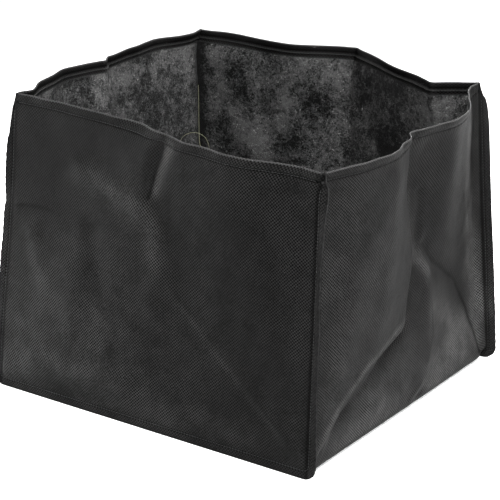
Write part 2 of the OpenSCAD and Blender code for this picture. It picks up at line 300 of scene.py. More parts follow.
def make_camera():
    data = bpy.data.cameras.new("camera")
    data.lens = CAMERA_LENS
    data.sensor_width = CAMERA_SENSOR
    data.clip_start, data.clip_end = 0.05, 50.0
    camera = placed("camera", data)
    roll = math.radians(CAMERA_ROLL)
    back = direction(CAMERA_AZIMUTH, CAMERA_ELEVATION)
    level = (-back).cross(Vector((0, 0, 1))).normalized()
    up = level.cross(-back)
    across = level * math.cos(roll) + up * math.sin(roll)
    above = up * math.cos(roll) - level * math.sin(roll)
    turn = Matrix((across, above, back)).transposed().to_4x4()
    place = (Vector(CAMERA_TARGET) + back * CAMERA_DISTANCE) * MM
    camera.matrix_world = Matrix.Translation(place) @ turn
    bpy.context.scene.camera = camera


make_camera()

# ---- loose nylon thread ----
# Out of the back left seam, down the corner, round one curl
LOOSE_ROUTE = [
    (-209, 189, 260), (-208, 188.5, 250), (-207.5, 188.5, 238), (-207, 188.5, 225),
    (-206.5, 188.5, 212), (-205, 187, 200), (-201, 183, 189), (-194, 178, 182), (-186, 173, 179),
    (-178, 168, 182), (-173, 163, 190), (-173, 160, 200), (-177, 158, 207), (-183, 155, 211),
    (-190, 152, 211.5), (-197, 149.5, 209), (-203.5, 149, 203.5), (-207.5, 149.5, 195),
    (-208.5, 150.5, 186), (-208, 151, 177),
]
LOOSE_THREAD = 0.5


def smooth_route(points, steps):
    """A Catmull-Rom curve through the points."""
    p = np.array(points, float)
    made = []
    for i in range(len(p) - 1):
        a, b, c, d = p[max(i - 1, 0)], p[i], p[i + 1], p[min(i + 2, len(p) - 1)]
        for f in np.arange(steps) / steps:
            made.append(b + (c - a) * f / 2 + (2 * a - 5 * b + 4 * c - d) * f ** 2 / 2
                        + (3 * b - a - 3 * c + d) * f ** 3 / 2)
    made.append(p[-1])
    return np.array(made)


def make_loose_thread(material):
    line = smooth_route(LOOSE_ROUTE, 8)
    data = bpy.data.curves.new("nylon_tail", "CURVE")
    data.dimensions = "3D"
    spline = data.splines.new("POLY")
    spline.points.add(len(line) - 1)
    for point, place in zip(spline.points, line * MM):
        point.co = (*place, 1.0)
    data.bevel_depth = LOOSE_THREAD / 2 * MM
    data.bevel_resolution = 3
    data.use_fill_caps = True
    data.materials.append(material)
    piece = placed("nylon_tail", data)
    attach(piece, BODY)
    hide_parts("loose_thread_end")


# ---- smooth fields over a wall, on a 1 mm raster of (height, distance along) ----
UP = np.arange(0, HEIGHT + 1)
ALONG = np.arange(0, WIDTH + 1)


def blur_matrix(count, sigma, first, last):
    """Gaussian smoothing of a line of values. Past an end the values go on as "slope" (turned
    about the end value) or as "zero" (turned about zero)."""
    reach = int(3 * sigma) + 1
    kernel = np.exp(-0.5 * (np.arange(-reach, reach + 1) / sigma) ** 2)
    kernel /= kernel.sum()
    rows = np.zeros((count, count))
    for offset, weight in zip(range(-reach, reach + 1), kernel):
        for i in range(count):
            k = i + offset
            if k < 0:
                rows[i, min(-k, count - 1)] -= weight
                if first == "slope":
                    rows[i, 0] += 2 * weight
            elif k >= count:
                rows[i, max(2 * (count - 1) - k, 0)] -= weight
                if last == "slope":
                    rows[i, count - 1] += 2 * weight
            else:
                rows[i, k] += weight
    return rows


def blurred(field, sigma):
    """Smooths a wall's field. It stays zero at the two corner seams and at the ground."""
    upward = blur_matrix(len(UP), sigma, "zero", "slope")
    sideways = blur_matrix(len(ALONG), sigma, "zero", "zero")
    return upward @ field @ sideways.T


def noise_field(seed, sigma, size):
    """Seeded soft unevenness over a wall, size mm from middle to peak."""
    rng = np.random.default_rng(seed)
    field = blurred(rng.normal(size=(len(UP), len(ALONG))), sigma)
    return field * size / (2 * field.std())


def distance_to(points):
    """Distance of every raster place from a line of (along, height) points, and the share of the
    line's length where it is nearest."""
    x, z = np.meshgrid(ALONG, UP)
    lengths = [math.dist(a, b) for a, b in zip(points[:-1], points[1:])]
    best, where, done = np.full(x.shape, 1e9), np.zeros(x.shape), 0.0
    for (x0, z0), (x1, z1), length in zip(points[:-1], points[1:], lengths):
        run = np.array([x1 - x0, z1 - z0], float)
        share = np.clip(((x - x0) * run[0] + (z - z0) * run[1]) / (run @ run), 0, 1)
        away = np.hypot(x - x0 - share * run[0], z - z0 - share * run[1])
        where = np.where(away < best, (done + share * length) / sum(lengths), where)
        best = np.minimum(best, away)
        done += length
    return best, where


def smoothstep(t):
    t = np.clip(t, 0, 1)
    return t * t * (3 - 2 * t)


def near(points, width):
    """1 on a line of points, falling off over a width beside it."""
    return np.exp(-(distance_to(points)[0] / width) ** 2)


def patched(patches, combine, level):
    """A field of one level with patches (points, half width, strength) worked into it."""
    field = np.full((len(UP), len(ALONG)), float(level))
    for points, width, strength in patches:
        field = combine(field, strength * near(points, width))
    return field


SOFT_CREASE = 11.0               # how far a soft crease is rounded
SHARP_CREASE = 2.4
FOLD_ROUND = 1.0
SEAM_HEIGHT = MARGIN + OUTER     # the walls stand straight below this
STITCHED = HEIGHT - HEM_STITCH   # height of the hem's stitches
HEM_PUFF = 0.7                   # the turned edge swells between its stitches and the rim
SEAM_PUCKER = 0.22               # stitching draws the cloth in beside the corner seams
SEAM_PUCKER_PITCH = 8.5
HEM_PUCKER = 0.16                # and at the hem
HEM_PUCKER_PITCH = 9.0
PLAIN_LIGHT_AND_WEAR = 0.2                  # of plain cloth, with neither painted light nor shade and no wear


def wall_relief(name, seed):
    """How far a wall stands out from the plane between its corner seams."""
    raw = np.zeros((len(UP), len(ALONG)))
    for i, z in enumerate(UP):
        if z > SEAM_HEIGHT:
            cols = [[np.interp(z, *np.array(line, float).T[[0, k]]) for k in (1, 2)]
                    for line in CREASES[name]]
            places, outs = zip(*([(0, 0)] + cols + [(WIDTH, 0)]))
            raw[i] = np.interp(ALONG, places, outs)
    soft, sharp = blurred(raw, SOFT_CREASE), blurred(raw, SHARP_CREASE)
    mask = patched([(*crease, 1.0) for crease in SHARP[name]], np.maximum, 0)
    field = soft + (sharp - soft) * mask
    edge = np.minimum(ALONG, WIDTH - ALONG)[None, :]
    seam_calm = smoothstep(edge / 8) * smoothstep((UP[:, None] - 4) / 14)
    rim_calm = 1 - 0.85 * smoothstep((UP - 313) / 13)[:, None]
    for table, is_fold in ((FOLDS, True), (SWELLS, False)):
        for points, reach, first, last in table[name]:
            away, share = distance_to(points)
            if is_fold:
                profile = np.exp((FOLD_ROUND - np.hypot(away, FOLD_ROUND)) / reach)
            else:
                profile = np.exp(-(away / reach) ** 2)
            field += (first + (last - first) * share) * profile * seam_calm * rim_calm
    calm = smoothstep(edge / 25) * smoothstep((UP[:, None] - 8) / 30)
    field += (noise_field(seed, 22, 1.6) + noise_field(seed + 1, 9, 0.45)) * calm
    pucker = np.sin(2 * np.pi * UP / SEAM_PUCKER_PITCH + 0.9 * np.sin(UP / 17.0))[:, None]
    field += SEAM_PUCKER * pucker * np.exp(-edge / 7) * smoothstep(edge / 2)
    above = np.clip((UP - STITCHED) / HEM_STITCH, 0, 1)[:, None]
    field += HEM_PUFF * np.sin(np.pi * above) * seam_calm
    ripple = np.sin(2 * np.pi * ALONG / HEM_PUCKER_PITCH + 1.3 * np.sin(ALONG / 23.0))[None, :]
    field += HEM_PUCKER * ripple * np.exp(-(np.abs(UP - STITCHED)[:, None] / 6) ** 2)
    return field


def corner_posts():
    """Place of each corner seam at each height."""
    posts = {}
    smooth = blur_matrix(len(UP), 8.0, "slope", "slope")
    for name, (side_x, side_y, leans) in CORNERS.items():
        z, x, y = np.array(leans, float).T
        posts[name] = np.stack([side_x * WIDTH / 2 + smooth @ np.interp(UP, z, x),
                                side_y * DEPTH / 2 + smooth @ np.interp(UP, z, y)], -1)
    return posts


POSTS = corner_posts()
RELIEF = {name: wall_relief(name, 10 + 4 * i) for i, name in enumerate(WALLS)}


# Painted light and shade over each wall
LIGHT_AND_SHADE_FIELD = {name: np.clip(patched(PAINTED_LIGHT_AND_SHADE[name], np.add, PLAIN_LIGHT_AND_WEAR), 0, 1) for name in WALLS}
# Painted shade along the sharp creases of each wall
CREASE_SHADE_FIELD = {name: patched(CREASE_SHADE_LINES[name], np.maximum, 0) for name in WALLS}
# Felt blotches, with painted light and shade
BLOTCH_LIGHT_SHADE_FIELD = {name: patched(FELT_BLOTCH_LIGHT_SHADE[name], np.add, 0) for name in WALLS}


def raster_value(field, s, z):
    """Bilinear value of a wall's field."""
    s, z = np.clip(s, 0, WIDTH - 1e-6), np.clip(z, 0, HEIGHT - 1e-6)
    i, j = z.astype(int), s.astype(int)
    fz, fs = z - i, s - j
    low = field[i, j] * (1 - fs) + field[i, j + 1] * fs
    high = field[i + 1, j] * (1 - fs) + field[i + 1, j + 1] * fs
    return low * (1 - fz) + high * fz


def post_at(corner, z):
    line = POSTS[corner]
    return np.stack([np.interp(z, UP, line[:, k]) for k in (0, 1)], -1)


def wall_xy(name, s, z):
    """Outer face of a wall between its corner seams."""
    a, b, out = WALLS[name]
    start, end = post_at(a, z), post_at(b, z)
    share = (s / WIDTH)[..., None]
    return start + (end - start) * share + np.array(out) * raster_value(RELIEF[name], s, z)[..., None]


MARGIN_TURN = 4.0                # a margin turns over this distance beside its seam
SEAM_LOOK = 3.0                  # a wall's direction at a seam is taken over this distance


def margin_width(corner, z, column=1):
    """Width of a corner's margin at a height, or with column 2 the degrees it is turned."""
    line = np.array(MARGINS[corner], float).T
    return np.interp(z, line[0], line[column])


def panel_point(name, s, z):
    """A point of a panel's outer face. Past the corner seams it follows the turned margin."""
    s, z = np.broadcast_arrays(np.asarray(s, float), np.asarray(z, float))
    inside = np.clip(s, 0, WIDTH)
    xy = wall_xy(name, inside, z)
    for end in (0, 1):
        corner = WALLS[name][end]
        past = np.maximum(s - WIDTH, 0) if end else np.maximum(-s, 0)
        edge = np.full(z.shape, WIDTH * end)
        inward = np.full(z.shape, WIDTH - SEAM_LOOK if end else SEAM_LOOK)
        ahead = wall_xy(name, edge, z) - wall_xy(name, inward, z)
        ahead /= np.linalg.norm(ahead, axis=-1, keepdims=True)
        side = np.stack([ahead[..., 1], -ahead[..., 0]], -1) * (1 if end else -1)
        turn = np.radians(margin_width(corner, z, 2)) + 1e-4
        turn = turn + 0.05 * np.sin(z / 19.0 + 2 * end) + 0.03 * np.sin(z / 7.3 + end)
        bent = np.minimum(past, MARGIN_TURN) * turn / MARGIN_TURN
        rest = np.maximum(past - MARGIN_TURN, 0)
        forward = MARGIN_TURN / turn * np.sin(bent) + rest * np.cos(turn)
        sideways = MARGIN_TURN / turn * (1 - np.cos(bent)) + rest * np.sin(turn)
        xy = xy + ahead * forward[..., None] + side * sideways[..., None]
    return np.concatenate([xy, z[..., None]], -1)


# ---- rows and columns of the grids ----
def spaced(*runs):
    """Values through runs of (end, step) from the first number on."""
    start = runs[0]
    values = [float(start)]
    for end, step in runs[1:]:
        count = max(1, round(abs(end - values[-1]) / step))
        values += list(values[-1] + (end - values[-1]) * np.arange(1, count + 1) / count)
    return np.array(values)


RIM_RADIUS = WALL / 2 + OUTER / 2         # outer face of the turned edge
RIM_ROW = HEIGHT - RIM_RADIUS
CORNER_ROWS = SEAM_BEND + MARGIN          # below this a panel's bottom corners are rounded
FLARE_TOP = 45                            # below this the strip's rows spread to meet the floor
ROWS_UP = spaced(CORNER_ROWS, (FLARE_TOP, 2), (300, 2.5), (315, 1.5), (317.5, 1), (322.5, 0.5),
                 (RIM_ROW, 1))
PANEL_ROWS = np.concatenate([spaced(0, (CORNER_ROWS, 1))[:-1], ROWS_UP])
ACROSS = spaced(SEAM_BEND, (20, 1.5), (WIDTH - 20, 2.5), (WIDTH - SEAM_BEND, 1.5))
CORNER_COLS = spaced(0, (1, 1 / 12))[1:]  # share of the way from the last column to the raw edge


def panel_grid(name):
    """Outer face of a panel, its raw edges 11 mm outside the seams and its bottom corners round.
    Returns the places of its columns and rows as well, for the texture."""
    radius = CORNER_ROWS
    s = np.zeros((len(PANEL_ROWS), 2 * len(CORNER_COLS) + len(ACROSS)))
    z = np.repeat(PANEL_ROWS[:, None], s.shape[1], 1)
    count = len(CORNER_COLS)
    s[:, count:-count] = ACROSS
    low = np.clip((radius - PANEL_ROWS) / radius, 0, 1)[:, None]
    for end, corner in enumerate(WALLS[name][:2]):
        reach = SEAM_BEND + margin_width(corner, PANEL_ROWS)[:, None]
        share = CORNER_COLS[None, :]
        out = np.where(low > 0, radius, reach) * share * np.sqrt(1 - low ** 2 / 2)
        drop = radius * low * (1 - np.sqrt(1 - share ** 2 / 2))
        if end:
            s[:, -count:] = WIDTH - SEAM_BEND + out
            z[:, -count:] += drop
        else:
            s[:, :count] = (SEAM_BEND - out)[:, ::-1]
            z[:, :count] += drop[:, ::-1]
    return panel_point(name, s, z), s, z


def unit(v):
    return v / np.maximum(np.linalg.norm(v, axis=-1, keepdims=True), 1e-9)


def grid_normals(points):
    """Normals of a grid whose columns run left to right seen from outside and rows upward."""
    return unit(np.cross(np.gradient(points, axis=1), np.gradient(points, axis=0)))


STITCH_DITCH = 0.6
DITCH_WIDTH = 1.3


def seam_distance(s, z):
    """Distance from the seam stitches of a panel, which run 2 mm outside the seam line."""
    aside = MARGIN - SEAM_STITCH
    corner = SEAM_BEND + aside
    x = np.maximum(np.abs(s - WIDTH / 2) - (WIDTH / 2 - SEAM_BEND), 0)
    y = np.maximum(CORNER_ROWS - z, 0)
    return np.abs(np.hypot(x, y) - corner)


def ditch(distance):
    """Depth to which a row of stitches sinks."""
    return STITCH_DITCH * np.exp(-(distance / DITCH_WIDTH) ** 2)


def hem_ditch(z):
    return ditch(z - STITCHED)


FOLD_STEPS = 6                   # rows of the turned edge over the rim
HEM_END = 0.3                    # its ends inside the bag are squeezed into this distance


def hemmed(points, normals, places, run, inner_edge):
    """Adds the turned edge above the last row: over the rim, then down the inside to the hem's
    lower edge. run holds the distance of each row along the cloth. Returns the face and the back
    of the cloth, and run for all the rows."""
    level = unit(normals[-1] * (1, 1, 0))
    face, back, run = list(points), list(points - normals * OUTER), list(run)
    at = places[-1]
    order = np.argsort(at)
    centre, half = (at.min() + at.max()) / 2, (at.max() - at.min()) / 2
    inner_half = centre - inner_edge

    def drawn_in(row, share):
        """Moves the columns of a row in from the ends, for the part of the hem inside the bag."""
        aside = at - centre
        past = (np.abs(aside) - inner_half) / max(half - inner_half, 1e-6)
        inner = np.where(past > 0, np.sign(aside) * (inner_half + HEM_END * past - HEM_END), aside)
        target = at + (inner + centre - at) * share
        return np.stack([np.interp(target, at[order], row[order, k]) for k in range(3)], -1)

    for k in range(1, FOLD_STEPS + 1):
        share = k / FOLD_STEPS
        angle = math.pi * share
        row, side = drawn_in(points[-1], share), unit(drawn_in(level, share))
        for rows, radius in ((face, RIM_RADIUS), (back, RIM_RADIUS - OUTER)):
            bent = row - side * RIM_RADIUS + side * radius * math.cos(angle)
            bent[:, 2] += radius * math.sin(angle)
            rows.append(bent)
        run.append(run[-1] + math.pi * RIM_RADIUS / FOLD_STEPS)
    for i in range(len(points) - 2, -1, -1):
        if points[i][:, 2].mean() < HEIGHT - HEM - 0.2:
            break
        row, side = drawn_in(points[i], 1), unit(drawn_in(normals[i], 1))
        face.append(row - side * 2 * RIM_RADIUS)
        back.append(row - side * (2 * RIM_RADIUS - OUTER))
        run.append(run[-1] + abs(points[i + 1][:, 2].mean() - points[i][:, 2].mean()))
    return np.array(face), np.array(back), np.array(run)


# ---- meshes ----
SHARP_EDGE = math.radians(50)


def link_mesh(name, vertices, faces, material, uv=None, shares=None):
    mesh = bpy.data.meshes.new(name)
    mesh.vertices.add(len(vertices))
    mesh.vertices.foreach_set("co", (vertices * MM).astype(np.float32).ravel())
    mesh.loops.add(faces.size)
    mesh.loops.foreach_set("vertex_index", faces.astype(np.int32).ravel())
    mesh.polygons.add(len(faces))
    mesh.polygons.foreach_set("loop_start", np.arange(len(faces), dtype=np.int32) * faces.shape[1])
    mesh.update(calc_edges=True)
    if uv is not None:
        layer = mesh.uv_layers.new(name="cloth")
        layer.data.foreach_set("uv", uv[faces.ravel()].astype(np.float32).ravel())
    for key, share in (shares or {}).items():
        values = mesh.attributes.new(key, "FLOAT", "POINT").data
        values.foreach_set("value", share.astype(np.float32))
    mesh.validate()
    mesh.shade_smooth()
    mesh.set_sharp_from_angle(angle=SHARP_EDGE)
    mesh.materials.append(material)
    return placed(name, mesh)


def shell(name, face, back, uv, material, shares):
    """A closed sheet between two grids of the same size. uv is in millimetres of cloth. Shares are
    grids by name: how much painted shade, painted light with wear, and felt blotches with painted light
    and shade lie at each point."""
    m, n = face.shape[:2]
    at = np.arange(m * n).reshape(m, n)
    cells = np.stack([at[:-1, :-1], at[:-1, 1:], at[1:, 1:], at[1:, :-1]], -1).reshape(-1, 4)
    rim = np.concatenate([at[0, :-1], at[:-1, -1], at[-1, :0:-1], at[:0:-1, 0]])
    after = np.roll(rim, -1)
    edge = np.stack([after, rim, rim + m * n, after + m * n], -1)
    faces = np.concatenate([cells, cells[:, ::-1] + m * n, edge])
    vertices = np.concatenate([face.reshape(-1, 3), back.reshape(-1, 3)])
    both = np.concatenate([uv.reshape(-1, 2), uv.reshape(-1, 2)])
    return link_mesh(name, vertices, faces, material, both,
                     {key: np.tile(share.ravel(), 2) for key, share in shares.items()})


def declare(piece, nodes):
    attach(piece, BODY)
    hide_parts(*nodes)


# ---- the strip: right wall, floor, left wall ----
STRIP_FLOOR_STEPS = 44
BEND_STEPS = 10
FLANGE_COLS = 8
BEND_COLS = 5


def strip_ramp(v):
    """0 at the floor seams and 1 on the floor away from them."""
    t = np.clip((np.minimum(v, DEPTH - v) - FIN) / FLOOR_RAMP, 0, 1)
    return 0.5 * t + 0.5 * smoothstep(t)


def strip_rows():
    """For each row of the strip: kind, place and angle, from the right rim to the left rim."""
    down = [("right", z, 0.0) for z in ROWS_UP[::-1]]
    arc = [math.pi / 2 * k / BEND_STEPS for k in range(1, BEND_STEPS)]
    rows = down + [("right_bend", 0, a) for a in arc]
    rows += [("floor", x, 0) for x in np.linspace(1, -1, STRIP_FLOOR_STEPS)]
    rows += [("left_bend", 0, a) for a in arc[::-1]] + [("left", r[1], 0.0) for r in down[::-1]]
    return rows


def side_wall_xyz(side, v, z):
    """Outer face of a side wall, v measured from the front to the back."""
    s = v if side == "right" else DEPTH - v
    return np.concatenate([wall_xy(side, s, z), z[..., None]], -1)


def strip_point(row, v):
    """Outer face of the strip between its two seam bends."""
    kind, place, angle = row
    ramp = strip_ramp(v)
    sign = 1 if kind.startswith("right") else -1
    if kind in ("right", "left"):
        low = np.clip((FLARE_TOP - place) / (FLARE_TOP - CORNER_ROWS), 0, 1)
        far = place - (CORNER_ROWS - FLOOR_BEND) * low
        return side_wall_xyz(kind, v, place + (far - place) * ramp)
    if kind == "floor":
        x = place * (WIDTH / 2 - SEAM_BEND - (FLOOR_BEND - SEAM_BEND) * ramp)
        return np.stack([x, v - DEPTH / 2, MARGIN * (1 - ramp)], -1)
    radius = SEAM_BEND + (FLOOR_BEND - SEAM_BEND) * ramp
    x = WIDTH / 2 - radius + radius * math.cos(angle)
    z = MARGIN * (1 - ramp) + radius * (1 - math.sin(angle))
    side = kind.split("_")[0]
    top = np.where(ramp < 1, CORNER_ROWS + (FLOOR_BEND - CORNER_ROWS) * ramp, FLOOR_BEND)
    shift = side_wall_xyz(side, v, top) - np.stack([sign * WIDTH / 2 + 0 * v, v - DEPTH / 2, top], -1)
    return np.stack([sign * x, v - DEPTH / 2, z], -1) + shift * math.cos(angle)


def flange_place(row, q):
    """Where a point of the strip's margin lies on a panel: distance across, height."""
    kind, place, angle = row
    if kind in ("right", "left"):
        x, z = WIDTH / 2 + q, place + 0 * q
    elif kind == "floor":
        x, z = place * (WIDTH / 2 - SEAM_BEND) + 0 * q, MARGIN - q
    else:
        x = WIDTH / 2 - SEAM_BEND + (SEAM_BEND + q) * math.cos(angle)
        z = CORNER_ROWS - (SEAM_BEND + q) * math.sin(angle)
    return (-x if kind.startswith("left") else x), z


def behind_panel(panel, x, z):
    """A point in a panel's margin, one seam's thickness behind its outer face."""
    def at(dx, dz):
        s = (x + dx) * (1 if panel == "front" else -1) + WIDTH / 2
        return panel_point(panel, s, z + dz)
    normal = unit(np.cross(at(0.5, 0) - at(-0.5, 0), at(0, 0.5) - at(0, -0.5)))
    return at(0, 0) - normal * (1 if panel == "front" else -1) * FIN


def strip_grid():
    """Outer face of the strip, the places of its columns, the distance of each row along it, and
    its rows."""
    rows = strip_rows()
    grid, across = [], []
    spread = (ACROSS - ACROSS[0]) / (ACROSS[-1] - ACROSS[0])
    for row in rows:
        kind, place, _ = row
        side = kind.split("_")[0]
        ends = []
        for panel in ("front", "back"):
            on_wall = kind in ("right", "left")
            width = float(margin_width(panel + "_" + side, place)) if on_wall else MARGIN
            bend = min(1.3, 0.6 * width)
            q = np.linspace(width, bend, FLANGE_COLS)
            flange = behind_panel(panel, *flange_place(row, q))
            knee = behind_panel(panel, *flange_place(row, np.array([0.0])))[0]
            v_bend = FIN + bend if panel == "front" else DEPTH - FIN - bend
            away = strip_point(row, np.array([v_bend]))[0]
            t = (np.arange(1, BEND_COLS) / BEND_COLS)[:, None]
            bent = flange[-1] * (1 - t) ** 2 + 2 * knee * t * (1 - t) + away * t ** 2
            cols = np.concatenate([-q, np.linspace(-bend, FIN + bend, BEND_COLS + 1)[1:-1]])
            ends.append((np.concatenate([flange, bent]), v_bend, cols))
        (front, v_front, front_cols), (back, v_back, back_cols) = ends
        v = v_front + spread * (v_back - v_front)
        grid.append(np.concatenate([front, strip_point(row, v), back[::-1]]))
        across.append(np.concatenate([front_cols, v, (DEPTH - back_cols)[::-1]]))
    grid = np.array(grid)
    middle = grid[:, grid.shape[1] // 2]
    run = np.concatenate([[0], np.cumsum(np.linalg.norm(np.diff(middle, axis=0), axis=1))])
    return grid, np.array(across), run, rows


# ---- materials ----
class Nodes:
    """Short way to build a node material. Every noise runs through the space of the object."""

    def __init__(self, name):
        self.material = bpy.data.materials.new(name)
        self.material.use_nodes = True
        self.tree = self.material.node_tree
        self.tree.nodes.clear()
        self.shader = self.add("ShaderNodeBsdfPrincipled")
        output = self.add("ShaderNodeOutputMaterial")
        self.tree.links.new(self.shader.outputs[0], output.inputs["Surface"])
        self.place = self.add("ShaderNodeTexCoord").outputs["Object"]

    def add(self, kind, settings=None, **inputs):
        node = self.tree.nodes.new(kind)
        for key, value in (settings or {}).items():
            setattr(node, key, value)
        for key, value in inputs.items():
            self.set(node, int(key[1:]) if key[0] == "_" else key.replace("_", " "), value)
        return node

    def set(self, node, key, value):
        if isinstance(value, bpy.types.NodeSocket):
            self.tree.links.new(value, node.inputs[key])
        elif isinstance(value, bpy.types.Node):
            self.tree.links.new(value.outputs[0], node.inputs[key])
        else:
            node.inputs[key].default_value = value

    def look(self, **inputs):
        """Sets the shader's own sockets, and gives the finished material."""
        for key, value in inputs.items():
            self.set(self.shader, key.replace("_", " "), value)
        return self.material

    def math(self, operation, a, b=0.0, clamp=False):
        return self.add("ShaderNodeMath", {"operation": operation, "use_clamp": clamp}, _0=a, _1=b)

    def total(self, *parts):
        """Sum of values, each times its weight."""
        value = None
        for part, weight in parts:
            part = self.math("MULTIPLY", part, weight)
            value = part if value is None else self.math("ADD", value, part)
        return value

    def centred(self, value):
        return self.math("SUBTRACT", value, 0.5)

    def share(self, name):
        """One of the mesh's shares."""
        return self.add("ShaderNodeAttribute", {"attribute_name": name}).outputs["Fac"]

    def noise(self, scale, detail=2.0, rough=0.5, distortion=0.0):
        return self.add("ShaderNodeTexNoise", None, Vector=self.place, Scale=scale, Detail=detail,
                        Roughness=rough, Distortion=distortion)

    def span(self, value, low, high, to_low, to_high):
        return self.add("ShaderNodeMapRange", None, Value=value, From_Min=low, From_Max=high,
                        To_Min=to_low, To_Max=to_high)

    def blend(self, share, a, b):
        return self.add("ShaderNodeMix", {"data_type": "RGBA"}, _0=share, _6=a, _7=b).outputs[2]

    def bump(self, height, strength, depth, **under):
        return self.add("ShaderNodeBump", None, Strength=strength, Distance=depth * MM,
                        Height=height, **under)


def grey(value, warm=0.0):
    return (value * (1 + warm), value, value * (1 - warm), 1.0)


EMBOSS_PITCH = 2.55              # of the fine diamond pressed into the coated cloth


def coated_cloth():
    n = Nodes("coated_cloth")
    split = n.add("ShaderNodeSeparateXYZ", None, Vector=n.add("ShaderNodeUVMap", {"uv_map": "cloth"}))
    wobble = n.math("MULTIPLY", n.noise(45.0), 2.5)
    waves = []
    for operation in ("ADD", "SUBTRACT"):
        diagonal = n.math(operation, split.outputs[0], split.outputs[1])
        turned = n.math("MULTIPLY", n.math("MULTIPLY", diagonal, math.sqrt(0.5)),
                        2 * math.pi / EMBOSS_PITCH)
        waves.append(n.math("SINE", n.math("ADD", turned, wobble)))
    diamond = n.math("MULTIPLY", n.math("ADD", *waves), 0.5)
    broad = n.noise(9.0, 4.0, 0.6)
    patchy = n.noise(55.0, 4.0, 0.7)
    fine = n.noise(420.0, 3.0, 0.7)
    # The emboss is deep in some places and worn in others
    depth = n.span(n.math("ADD", patchy, broad), 0.75, 1.25, 0.25, 1.3)
    shade = n.total((n.centred(broad), 0.5), (n.centred(patchy), 0.45),
                    (n.math("MULTIPLY", diamond, depth), 0.85), (n.centred(fine), 0.9))
    # Painted light and shade from the share below: the cloth's lighter end is raised where light falls
    # on folds and facets and lowered in their shade; at the rim the share is wear
    light_and_wear = n.share("light_and_wear")
    patches = n.span(n.noise(34.0, 4.0, 0.65), 0.35, 0.65, 0.6, 1.2)
    light = n.blend(n.math("MULTIPLY", light_and_wear, patches, clamp=True), grey(0.009, 0.01),
                    grey(0.062, 0.01))
    colour = n.blend(n.math("ADD", shade, 0.42, clamp=True), grey(0.0006, 0.01), light)
    # Bare threads along the rim
    bare = n.math("MULTIPLY", n.span(light_and_wear, 1.0, 2.0, 0.0, 1.0),
                  n.span(n.noise(240.0, 2.0, 0.6), 0.4, 0.6, 0.15, 1.0))
    colour = n.blend(bare, colour, grey(0.034, 0.01))
    scuffs = n.span(n.noise(160.0, 5.0, 0.8), 0.6, 0.75, 0.0, 0.35)
    colour = n.blend(scuffs, colour, grey(0.022))
    worn_edges = n.add("ShaderNodeNewGeometry").outputs["Pointiness"]
    colour = n.blend(n.span(worn_edges, 0.51, 0.56, 0.0, 0.5), colour, grey(0.032))
    # Painted shade in the stitch ditches, at the knees of the seams, along the raw edges and along the
    # sharp creases
    colour = n.blend(n.math("MULTIPLY", n.share("painted_shade"), 0.88), colour, grey(0.0005))
    crush = n.bump(n.noise(110.0, 4.0, 0.6), 0.7, 0.5,
                   Normal=n.bump(n.total((diamond, 0.5), (fine, 0.5)), 0.9, 0.3))
    return n.look(Base_Color=colour, Specular_IOR_Level=0.008, Normal=crush,
                  Roughness=n.span(n.total((broad, 1.0), (fine, 0.3)), 0.4, 0.9, 0.38, 0.5))


def felt():
    n = Nodes("felt")
    fibre = n.noise(390.0, 4.0, 0.8, 1.4)
    tuft = n.noise(190.0, 6.0, 0.8, 1.0)
    # The felt's own blotches, with painted light and shade beside its folds and corners, come in
    # through the mesh share
    mix = n.total((tuft, 0.4), (fibre, 0.45), (n.share("blotch_light_shade"), 0.045),
                  (n.noise(60.0, 5.0, 0.7), 0.3), (n.noise(16.0, 3.0, 0.5), 0.3))
    share = n.span(mix, 0.67, 0.81, 0.0, 1.0)
    colour = n.blend(share, grey(0.0008), grey(0.066, 0.005))
    flecks = n.span(n.noise(300.0, 4.0, 0.85, 2.0), 0.58, 0.68, 0.0, 0.8)
    colour = n.blend(n.math("MULTIPLY", flecks, share), colour, grey(0.5, 0.005))
    # Painted shade on the felt along the corner seams
    colour = n.blend(n.math("MULTIPLY", n.share("painted_shade"), 0.9), colour, grey(0.003))
    return n.look(Base_Color=colour, Roughness=0.95, Specular_IOR_Level=0.05, Sheen_Weight=0.03,
                  Sheen_Roughness=0.6, Normal=n.bump(n.total((tuft, 0.8), (fibre, 0.4)), 0.9, 1.6))


def thread_material():
    n = Nodes("sewing_thread")
    strands = n.noise(2500.0, 3.0, 0.7)
    return n.look(Base_Color=n.blend(strands, grey(0.0003), grey(0.002)), Roughness=0.6,
                  Normal=n.bump(strands, 0.5, 0.1))


def nylon():
    n = Nodes("nylon_thread")
    tint = n.blend(n.noise(160.0, 2.0, 0.5), (0.10, 0.10, 0.06, 1), (0.24, 0.24, 0.16, 1))
    return n.look(Base_Color=tint, Roughness=0.28, Specular_IOR_Level=0.5, Coat_Weight=0.2)


CLOTH = coated_cloth()
FELT = felt()
THREAD_LOOK = thread_material()
make_loose_thread(nylon())


# ---- panels ----
FELT_FUZZ = 0.3
FELT_STRIP = 8.0                 # painted shade along the corner seams over this distance
RAW_EDGE = 1.6                   # width of the painted shade along a raw edge
RIM_RUB = 2.0                    # past 1 the coating is worn through to pale threads
HEM_RUB = 0.12                   # of the turned edge inside


def fuzz(shape, seed):
    """Uneven surface of the felt, in mm."""
    rng = np.random.default_rng(seed)
    field = rng.normal(size=shape)
    for axis in (0, 1):
        field = (field + np.roll(field, 1, axis) + np.roll(field, -1, axis)) / 3
    return field * FELT_FUZZ / field.std() / 2


def felt_corner_shade(from_seam):
    """Painted shade on the felt in a strip along the corner seams, and all over its seam margins."""
    strip = np.clip(1.15 - np.abs(from_seam - FIN) / FELT_STRIP, 0, 1)
    return np.where(from_seam < 1, 1.0, strip)


def painted_shade_share(depth, knee, knee_shade, cut, crease_shade):
    """How dark the cloth is painted for shade: in the stitch ditches, at the knee of a seam, along a
    raw edge and along the sharp creases.
    """
    return np.maximum.reduce([depth / STITCH_DITCH, knee_shade * np.exp(-(knee / 2) ** 2),
                              0.9 * np.exp(-(cut / RAW_EDGE) ** 2), crease_shade])


